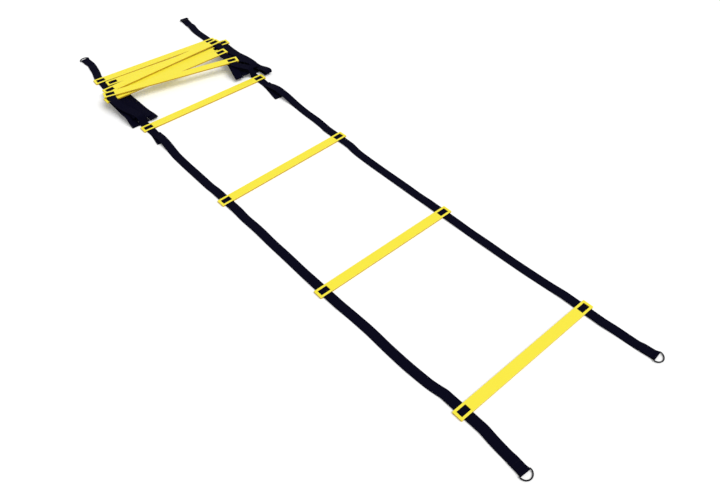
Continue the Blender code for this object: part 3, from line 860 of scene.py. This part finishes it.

# %% [markdown]
# ## Black webbing
# Flat polypropylene webbing is woven from thick warp cords that run lengthwise. Each cord dives
# under the weft and comes up again, so the face is columns of short leaning pads, with every second
# column leaning the other way. The flat UV map is in metres, so the pads have their real size: 14
# columns across 25 mm, each pad 3.2 mm long. The yarn is nearly black with a blue cast and a little
# dusty on the crests, and the furrows are painted darker, as shade.

# %% Webbing finish
CORD_COUNT = 14
PAD_LENGTH = 0.0032
PAD_LEAN = 0.45
FILAMENT_PITCH = 0.00024
FILAMENT_SHARE = 0.10
SELVEDGE_WIDTH = 0.0011
SELVEDGE_PITCH = 0.0012
CORD_FULLNESS = 0.5
PAD_FULLNESS = 0.35
WEAVE_DEPTH = 0.00030
WEAVE_STRENGTH = 0.7
YARN_ROUGHNESS = 0.92
CREST_POLISH = 0.16
YARN_SPECULAR = 0.03
DUST_SCALE = 900.0
DUST_START = 0.56
DUST_GAIN = 3.0
DUST_HEIGHT = 0.25
PATCH_SCALE = 24.0
FURROW_SHADE_BLACK = (0.0004, 0.0004, 0.0024, 1)
CREST_BLACK = (0.0022, 0.0020, 0.0108, 1)
DUST_GREY = (0.008, 0.007, 0.021, 1)


def flat_place(finish, name):
    """The two numbers of a UV map in metres, and the map itself."""
    flat = finish.node("ShaderNodeUVMap", {"uv_map": name}).outputs[0]
    first, second, _ = finish.parts(flat)
    return first, second, flat


def pad(share):
    """A round crest across a share that runs from 0 to 1."""
    return share * (1 - share) * 4


def webbing_finish():
    finish = Finish("black_webbing")
    across, along, flat = flat_place(finish, "flat")
    cord = across * (CORD_COUNT / STRAP_WIDTH)
    odd = finish.maths("MODULO", cord.maths("FLOOR"), 2.0)
    over = cord.maths("FRACT")
    lean = (over - 0.5) * PAD_LEAN * (1 - odd * 2)
    length = (along / PAD_LENGTH + odd * 0.5 + lean).maths("FRACT")
    pads = (pad(over) ** CORD_FULLNESS) * (pad(length) ** PAD_FULLNESS)
    filaments = (across * (2 * math.pi / FILAMENT_PITCH)).maths("SINE")
    inward = across.maths("MINIMUM", STRAP_WIDTH - across)
    selvedge = inward.maths("LESS_THAN", SELVEDGE_WIDTH)
    turns = (along * (2 * math.pi / SELVEDGE_PITCH)).maths("SINE") * 0.5 + 0.5
    weave = pads * (1 - selvedge) + turns * selvedge
    dust = finish.noise(flat, DUST_SCALE, 3.0, 0.7)
    dusty = finish.peaks(dust, DUST_START, DUST_GAIN) * finish.noise(flat, PATCH_SCALE)
    # Painted shade: where the weave is low, in the furrows, the yarn is darker.
    yarn = finish.mix(weave, FURROW_SHADE_BLACK, CREST_BLACK)
    finish.set(Base_Color=finish.mix(dusty, yarn, DUST_GREY))
    finish.set(Roughness=YARN_ROUGHNESS - weave * CREST_POLISH, Specular_IOR_Level=YARN_SPECULAR)
    relief = weave + filaments * FILAMENT_SHARE + dust * DUST_HEIGHT
    finish.bump(relief, WEAVE_STRENGTH, WEAVE_DEPTH)
    return finish.material


black_webbing = webbing_finish()
for side in SIDE_NAMES:
    strap, length = make_strap(side, black_webbing)
    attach(strap, "webbing")
    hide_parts("strap_" + SIDE_NAMES[side])
    print(strap.name, round(length, 3), "m,", len(strap.data.polygons), "faces")

# %% [markdown]
# ## The rungs
# A rung is one moulding: a flat bar with a window near each end. Under the window the strap's
# channel runs right across, and a thin keeper bar is left below it, so the webbing passes over the
# keeper and under the end frame and shows in the window. Every surface of that shape is flat and
# square, so the bar is ruled into a grid of cells along its length, width and thickness, and a cell
# is either plastic or air. Only faces between plastic and air are made, which gives clean quads.

# %% The rung's cells
CELL_SIDES = [(axis, way) for axis in range(3) for way in (0, 1)]


def rung_rulings():
    """Where the grid's planes lie along, across and up the rung."""
    inner, outer = WINDOW_PLACE - WINDOW_LENGTH / 2, WINDOW_PLACE + WINDOW_LENGTH / 2
    along = [inner, outer, RUNG_LENGTH / 2]
    across = [KEEPER_WIDTH / 2, WINDOW_WIDTH / 2, RUNG_WIDTH / 2]
    both_ways = [[-value for value in reversed(half)] + half for half in (along, across)]
    return [*both_ways, [0, KEEPER_THICKNESS, CHANNEL_TOP, RUNG_THICKNESS]]


def is_plastic(cell, counts):
    """Air outside the bar, in the windows, in the channels and beside the keeper bars."""
    if any(not 0 <= place < count for place, count in zip(cell, counts)):
        return False
    column, row, layer = cell
    keeper_layer, frame_layer = 0, counts[2] - 1
    if column not in (1, counts[0] - 2):
        return True
    if layer == keeper_layer:
        return row == counts[1] // 2
    return layer == frame_layer and row in (0, counts[1] - 1)


def rung_shape():
    """Quads wherever plastic meets air."""
    rulings = rung_rulings()
    counts = [len(ruling) - 1 for ruling in rulings]
    shape = bmesh.new()
    corners = {}

    def corner(key):
        if key not in corners:
            corners[key] = shape.verts.new([ruling[step] for ruling, step in zip(rulings, key)])
        return corners[key]

    for cell in itertools.product(*(range(count) for count in counts)):
        if not is_plastic(cell, counts):
            continue
        for axis, way in CELL_SIDES:
            beyond = list(cell)
            beyond[axis] += 2 * way - 1
            if is_plastic(tuple(beyond), counts):
                continue
            side = [list(cell) for _ in range(4)]
            for number, key in enumerate(side):
                key[axis] += way
                key[(axis + 1) % 3] += number in (1, 2)
                key[(axis + 2) % 3] += number in (2, 3)
            face = [corner(tuple(key)) for key in side]
            shape.faces.new(face if way else reversed(face))
    return shape


print("cells along, across and up a rung:", [len(ruling) - 1 for ruling in rung_rulings()])

# %% [markdown]
# ## Rounding the rungs
# A moulding has no sharp edge. The grid cuts each upright corner line of the bar into short edges,
# so these are first made one edge again, which is then bevelled. One more bevel rounds every edge
# by half a millimetre, as a mould does, and only those round faces are shaded smooth. The finished
# bar is then copied to its ten places.

# %% One rung, moulded ten times
RUNG_CORNER = 0.0015
CORNER_STEPS = 4
RUNG_EDGE = 0.00045
EDGE_STEPS = 3
EDGE_ANGLE = math.radians(40)
FLAT_ENOUGH = 0.999


def at_corner(vert):
    """Whether a vertex lies on one of the four upright corner lines."""
    reach = (RUNG_LENGTH / 2 - abs(vert.co.x), RUNG_WIDTH / 2 - abs(vert.co.y))
    return max(reach) < CLEARANCE


def is_crossing(edge):
    """Whether an edge meets a corner line between its ends."""
    level = abs(edge.verts[0].co.z - edge.verts[1].co.z) < CLEARANCE
    inside = [CLEARANCE < vert.co.z < RUNG_THICKNESS - CLEARANCE for vert in edge.verts]
    return level and any(at_corner(vert) and within for vert, within in zip(edge.verts, inside))


def rounded_corners(shape):
    """Make each upright corner one edge and round it."""
    crossings = [edge for edge in shape.edges if is_crossing(edge)]
    bmesh.ops.dissolve_edges(shape, edges=crossings, use_verts=True)
    tips = [edge for edge in shape.edges if all(at_corner(vert) for vert in edge.verts)]
    bmesh.ops.bevel(
        shape, geom=tips, offset=RUNG_CORNER, segments=CORNER_STEPS,
        profile=0.5, affect="EDGES", material=-1,
    )


def make_rung_blank(look):
    """The moulding with its rounded corners and edges."""
    shape = rung_shape()
    rounded_corners(shape)
    blank = new_piece("rung_blank", shape, look)
    add_bevel(blank, "mould_radius", RUNG_EDGE, EDGE_STEPS, EDGE_ANGLE)
    applied(blank)
    for face in blank.data.polygons:
        face.use_smooth = max(abs(part) for part in face.normal) < FLAT_ENOUGH
    return blank


def map_flat(rung):
    """Keep each point's place on the rung as a UV map in metres."""
    layer = rung.data.uv_layers.new(name="rung")
    for loop in rung.data.loops:
        layer.data[loop.index].uv = rung.data.vertices[loop.vertex_index].co.to_2d()


def make_rungs(look):
    blank = make_rung_blank(look)
    map_flat(blank)
    rungs = []
    for index in range(len(RUNG_PLACE_SHARES)):
        middle, turn, base = rung_place(index)
        mesh = blank.data.copy()
        mesh.transform(laid_at(middle, base, turn))
        mesh.name = f"slat_{index + 1:02d}"
        rungs.append(add_object(mesh.name, mesh))
    bpy.data.objects.remove(blank, do_unlink=True)
    return rungs


print("mould radius", RUNG_EDGE, "m, corner radius", RUNG_CORNER, "m")

# %% [markdown]
# ## Bright yellow plastic
# The rungs are matt yellow polypropylene. Their broad faces are lemon yellow, and their upright
# faces are painted a darker orange, as shade; the normal's upward share tells the two apart. Faint
# flow lines run along the rung, a fine mould grain breaks up the gloss, and the outer rims are a
# little paler where they rub on the floor.

# %% Plastic finish
LEMON = (0.872, 0.768, 0.047, 1)
LEMON_DEEP = (0.860, 0.726, 0.034, 1)
SIDE_SHADE_ORANGE = (0.58, 0.34, 0.007, 1)
RUBBED = (0.880, 0.785, 0.120, 1)
RUB_REACH = 0.0016
RUB_SCALE = 120.0
RUB_GAIN = 1.1
RUB_ROUGHNESS = 0.2
CLOUD_SCALE = 14.0
FLOW_SCALES = (14.0, 900.0)
GRAIN_SCALE = 2600.0
SIDE_SHADE_SHARPNESS = 6.0
PLASTIC_ROUGHNESS = 0.40
FLOW_ROUGHNESS = 0.10
PLASTIC_SPECULAR = 0.3
GRAIN_HEIGHT = 0.5
FLOW_HEIGHT = 0.6
MOULD_STRENGTH = 0.35
MOULD_DEPTH = 0.00006


def plastic_finish():
    finish = Finish("yellow_plastic")
    along, across, _ = flat_place(finish, "rung")
    place = finish.coordinates()
    level = finish.parts(finish.coordinates("Normal"))[2].maths("ABSOLUTE")
    clouds = finish.noise(place, CLOUD_SCALE, 3.0)
    flow_place = {"X": along * FLOW_SCALES[0], "Y": across * FLOW_SCALES[1]}
    flow = finish.noise(finish.node("ShaderNodeCombineXYZ", None, **flow_place).outputs[0], 1.0)
    grain = finish.noise(place, GRAIN_SCALE)
    rim_width = (across.maths("ABSOLUTE") - (RUNG_WIDTH / 2 - RUB_REACH)) / RUB_REACH
    rim_length = (along.maths("ABSOLUTE") - (RUNG_LENGTH / 2 - RUB_REACH)) / RUB_REACH
    rim = rim_width.maths("MAXIMUM", rim_length).maths("MAXIMUM", 0.0)
    wear = rim * finish.noise(place, RUB_SCALE, 3.0) * RUB_GAIN
    rubbed = wear.maths("MINIMUM", 1.0) * level
    worn = finish.mix(rubbed, finish.mix(clouds, LEMON_DEEP, LEMON), RUBBED)
    # Painted shade: the upright faces get a darker orange than the broad faces.
    unshaded_share = (level * SIDE_SHADE_SHARPNESS).maths("MINIMUM", 1.0)
    finish.set(Base_Color=finish.mix(unshaded_share, SIDE_SHADE_ORANGE, worn))
    finish.set(Roughness=PLASTIC_ROUGHNESS + flow * FLOW_ROUGHNESS + rubbed * RUB_ROUGHNESS)
    finish.set(Specular_IOR_Level=PLASTIC_SPECULAR)
    finish.bump(grain * GRAIN_HEIGHT + flow * FLOW_HEIGHT, MOULD_STRENGTH, MOULD_DEPTH)
    return finish.material


yellow_plastic = plastic_finish()
rungs = make_rungs(yellow_plastic)
for index, rung in enumerate(rungs):
    node = f"rung_{index + 1:02d}"
    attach(rung, node)
    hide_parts(node)
print(len(rungs), "rungs of", len(rungs[0].data.polygons), "faces")

# %% [markdown]
# ## The D-rings
# A D-ring is one round wire, bent at two tight corners and once round a wide bow, and welded at the
# bar. A circle of vertices is carried along that path: spun round each corner, pulled along the
# straight, spun round the bow. Past the corners the wire then swells to the bow's 3 mm. The ring is
# made lying flat with its bar on the X axis and then turned to its lean: three of the rings droop
# to the floor, and the far right one lies folded back on its own strap.

# %% Four wire rings
RING_SIDE_PLAY = 0.0010
BOW_RADIUS = 0.0015
SWELL_RUN = 0.004
RING_ARM = 0.0015
RING_CORNER = 0.0015
RING_FOLD_DEG = 168.0
WIRE_SIDES = 20
CORNER_TURNS = 8
BOW_TURNS = 56
MERGE_DISTANCE = WIRE_RADIUS / 50
RING_HALF_WIDTH = STRAP_WIDTH / 2 + WIRE_RADIUS + RING_SIDE_PLAY
RING_DEPTH = RING_ARM + RING_HALF_WIDTH
RING_PLACES = {
    f"{end}_{name}": (end, side) for end in ("near", "far") for side, name in SIDE_NAMES.items()
}


def ring_shape():
    """The D in its own plane, its bar on the X axis and its bow towards +Y."""
    shape = bmesh.new()
    start = Matrix.Rotation(math.pi / 2, 4, "Y")
    bmesh.ops.create_circle(shape, segments=WIRE_SIDES, radius=WIRE_RADIUS, matrix=start)
    corner = RING_HALF_WIDTH - RING_CORNER
    rim = pulled(shape, list(shape.edges), (corner, 0, 0))
    rim = turned(shape, rim, (corner, RING_CORNER, 0), math.pi / 2, CORNER_TURNS)
    rim = turned(shape, rim, (0, RING_ARM, 0), math.pi, BOW_TURNS)
    rim = turned(shape, rim, (-corner, RING_CORNER, 0), math.pi / 2, CORNER_TURNS)
    rim = pulled(shape, rim, (corner, 0, 0))
    thicken_bow(shape)
    bmesh.ops.remove_doubles(shape, verts=shape.verts, dist=MERGE_DISTANCE)
    bmesh.ops.recalc_face_normals(shape, faces=shape.faces)
    return shape


def thicken_bow(shape):
    """Swell the wire from the bar's gauge to the bow's, past the corners."""
    for vert in shape.verts:
        share = rise((vert.co.y - RING_ARM) / SWELL_RUN)
        way = Vector((vert.co.x, max(vert.co.y - RING_ARM, 0), 0)).normalized()
        middle = Vector((0, RING_ARM, 0)) + way * RING_HALF_WIDTH
        if share > 0:
            vert.co += (vert.co - middle) * (BOW_RADIUS / WIRE_RADIUS - 1) * share


def pulled(shape, rim, way):
    """Pull the wire's open end straight on."""
    made = bmesh.ops.extrude_edge_only(shape, edges=rim)["geom"]
    ends = [item for item in made if isinstance(item, bmesh.types.BMVert)]
    bmesh.ops.translate(shape, verts=ends, vec=way)
    return [item for item in made if isinstance(item, bmesh.types.BMEdge)]


def turned(shape, rim, centre, angle, steps):
    """Carry the wire's open end round a centre."""
    made = bmesh.ops.spin(
        shape, geom=rim, cent=centre, axis=(0, 0, 1), dvec=(0, 0, 0), angle=angle, steps=steps,
        use_merge=False, use_normal_flip=False, use_duplicate=False,
    )
    return [item for item in made["geom_last"] if isinstance(item, bmesh.types.BMEdge)]


def ring_matrix(end, side):
    bar, turn = ring_place(end, side)
    lean = math.asin((BAR_HEIGHT - BOW_RADIUS - FLOOR_GAP) / RING_DEPTH)
    if (end, side) == ("far", 1):
        lean = -math.radians(RING_FOLD_DEG)
    outward = turn + math.pi if end == "near" else turn
    return laid_at(bar, BAR_HEIGHT, outward) @ Matrix.Rotation(-lean, 4, "X")


print("ring", round(2 * RING_HALF_WIDTH, 4), "m wide and", round(RING_DEPTH, 4), "m deep")

# %% [markdown]
# ## Black steel
# The wire has a thin black coat over steel: dark, half glossy, and a touch lighter where it has
# rubbed. Steel and coat could be two shaders with a mask between them, but wire this thin needs
# only one: dark, partly metallic, uneven in its gloss, with a few pale scuffs.

# %% Steel finish
STEEL_BLACK = (0.004, 0.004, 0.006, 1)
STEEL_SCUFFED = (0.03, 0.03, 0.035, 1)
STEEL_METAL = 0.35
STEEL_SPECULAR = 0.15
COAT_ROUGHNESS = 0.42
COAT_WANDER = 0.16
COAT_SCALE = 260.0
COAT_HEIGHT = 0.3
SCUFF_SCALE = 1400.0
SCUFF_START = 0.58
SCUFF_GAIN = 4.0
SCUFF_STRENGTH = 0.25
SCUFF_DEPTH = 0.00004


def steel_finish():
    finish = Finish("black_steel")
    place = finish.coordinates()
    clouds = finish.noise(place, COAT_SCALE, 3.0)
    scuffs = finish.peaks(finish.noise(place, SCUFF_SCALE, 3.0, 0.6), SCUFF_START, SCUFF_GAIN)
    finish.set(Base_Color=finish.mix(scuffs, STEEL_BLACK, STEEL_SCUFFED))
    finish.set(Metallic=STEEL_METAL, Specular_IOR_Level=STEEL_SPECULAR)
    finish.set(Roughness=COAT_ROUGHNESS + clouds * COAT_WANDER)
    finish.bump(scuffs + clouds * COAT_HEIGHT, SCUFF_STRENGTH, SCUFF_DEPTH)
    return finish.material


black_steel = steel_finish()
for label, place in RING_PLACES.items():
    ring = new_piece("ring_" + label, ring_shape(), black_steel, ring_matrix(*place))
    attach(ring, "d_ring_" + label)
    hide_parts("d_ring_" + label)
print(len(RING_PLACES), "rings of", len(ring.data.polygons), "faces")

# %% [markdown]
# ## The box stitching
# Each lap is held by a box of lockstitch in thick black thread. On both faces a lockstitch is a row
# of short raised stitches, one after another, each a little pillow of thread. A small sphere is
# stretched to one stitch, and copies of it are set along the four sides of the box, above and below
# the webbing.

# %% Stitches in black thread
STITCH_LENGTH = 0.012
STITCH_INSET = 0.003
STITCH_COUNTS = (7, 4)
THREAD_WIDTH = 0.0008
STITCH_HEIGHT = 0.00056
STITCH_FILL = 0.94
STITCH_SIDES = 8
STITCH_RINGS = 6
SINK = 0.00018
STITCH_WIDTH = STRAP_WIDTH - 2 * STITCH_INSET


def stitch_rows():
    """Middle, direction and length of each stitch round the box."""
    half = (STITCH_WIDTH / 2, STITCH_LENGTH / 2)
    rows = []
    for axis, count in enumerate(STITCH_COUNTS):
        pitch = 2 * half[axis] / count
        for edge in (-1, 1):
            for step in range(count):
                place = [0.0, 0.0]
                place[axis] = -half[axis] + pitch * (step + 0.5)
                place[1 - axis] = edge * half[1 - axis]
                rows.append((place, axis, pitch * STITCH_FILL))
    return rows


def stitching_shape():
    """All the stitches of one box, on both faces of the lap."""
    shape = bmesh.new()
    proud = STITCH_HEIGHT / 2 - SINK
    for place, axis, length in stitch_rows():
        for level in (LAP_HEIGHT - proud, UPPER_LINE + HALF_STRAP + proud):
            size = [THREAD_WIDTH, THREAD_WIDTH, STITCH_HEIGHT, 1]
            size[axis] = length
            spot = Matrix.Translation((*place, level)) @ Matrix.Diagonal(size)
            bmesh.ops.create_uvsphere(
                shape, u_segments=STITCH_SIDES, v_segments=STITCH_RINGS, radius=0.5, matrix=spot
            )
    return shape


def stitching_matrix(end, side):
    bar, turn = ring_place(end, side)
    middle = bar + tail_way(end, turn) * (STITCH_START + STITCH_LENGTH / 2)
    return laid_at(middle, 0, turn)


print("stitch box", round(STITCH_WIDTH, 4), "by", STITCH_LENGTH, "m")

# %% [markdown]
# ## Twisted thread
# Sewing thread is a few strands twisted together. A wave over the two level coordinates draws their
# slanting stripes on every stitch, whichever side of the box it lies on. The gaps between the
# strands are painted a little darker, as shade, and the strands are smoother.

# %% Thread finish
STRAND_GAP_SHADE = (0.002, 0.002, 0.005, 1)
STRAND_BLACK = (0.009, 0.008, 0.018, 1)
THREAD_ROUGHNESS = 0.80
STRAND_POLISH = 0.12
THREAD_SPECULAR = 0.06
TWIST_PER_METRE = 16000.0
STRAND_STRENGTH = 0.5
STRAND_DEPTH = 0.0001


def thread_finish():
    finish = Finish("black_thread")
    across, along, _ = finish.parts(finish.coordinates())
    strands = ((across + along) * TWIST_PER_METRE).maths("SINE") * 0.5 + 0.5
    # Painted shade: the gaps between the strands are darker than the strands.
    finish.set(Base_Color=finish.mix(strands, STRAND_GAP_SHADE, STRAND_BLACK))
    finish.set(Roughness=THREAD_ROUGHNESS - strands * STRAND_POLISH)
    finish.set(Specular_IOR_Level=THREAD_SPECULAR)
    finish.bump(strands, STRAND_STRENGTH, STRAND_DEPTH)
    return finish.material


black_thread = thread_finish()
for label, (end, side) in RING_PLACES.items():
    place = stitching_matrix(end, side)
    stitches = new_piece("stitches_" + label, stitching_shape(), black_thread, place)
    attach(stitches, "webbing")
    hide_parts("stitching_" + label)
print(len(stitch_rows()) * 2, "stitches at each strap end")
